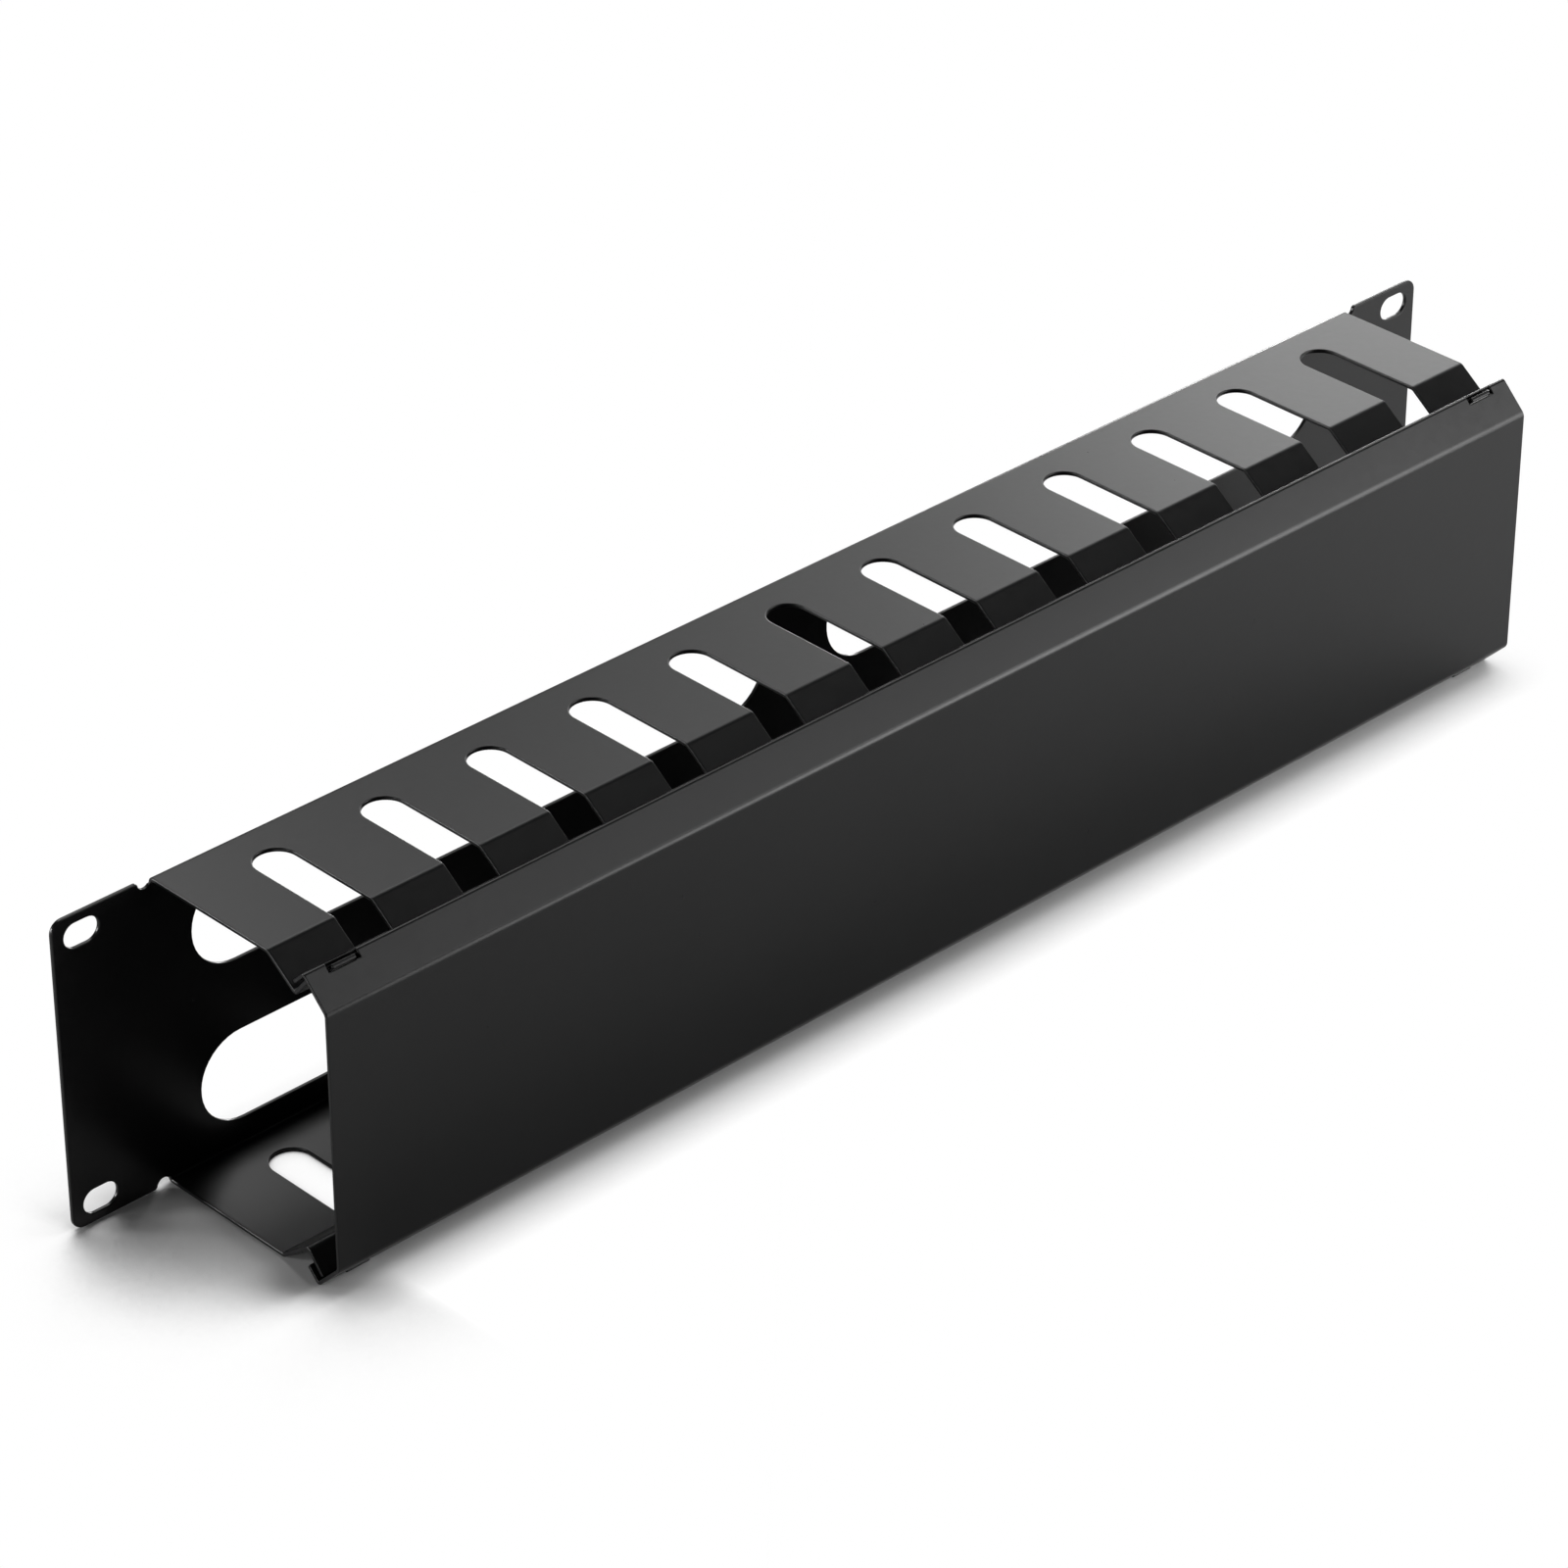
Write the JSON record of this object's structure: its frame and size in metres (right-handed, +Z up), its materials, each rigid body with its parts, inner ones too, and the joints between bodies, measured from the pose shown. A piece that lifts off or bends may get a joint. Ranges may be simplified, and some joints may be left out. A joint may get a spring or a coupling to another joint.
{
  "type": "horizontal cable manager",
  "caption": "Two-unit horizontal cable manager for a 19 inch rack: folded steel panel with slotted fingers top and bottom, and a clip-on front cover over the cable channel.",
  "frame": {"origin": "centre of the four rack slots, on the rear face of the panel that bears on the rack rails", "axes": "+X along the panel to the right as seen from the front, +Y to the rear of the rack, +Z up"},
  "size_m": [0.4826, 0.0662, 0.0884],
  "materials": {
    "powder_coated_steel": "matt black powder coat with a fine texture"
  },
  "bodies": {
    "chassis": {"slotted_chassis": "powder_coated_steel"},
    "cover": {"front_cover": "powder_coated_steel"}
  },
  "joints": [
    {"name": "cover_pull", "type": "slide", "parent": "chassis", "child": "cover", "axis": [0, -1, 0], "range_m": [0, 0.06]}
  ]
}
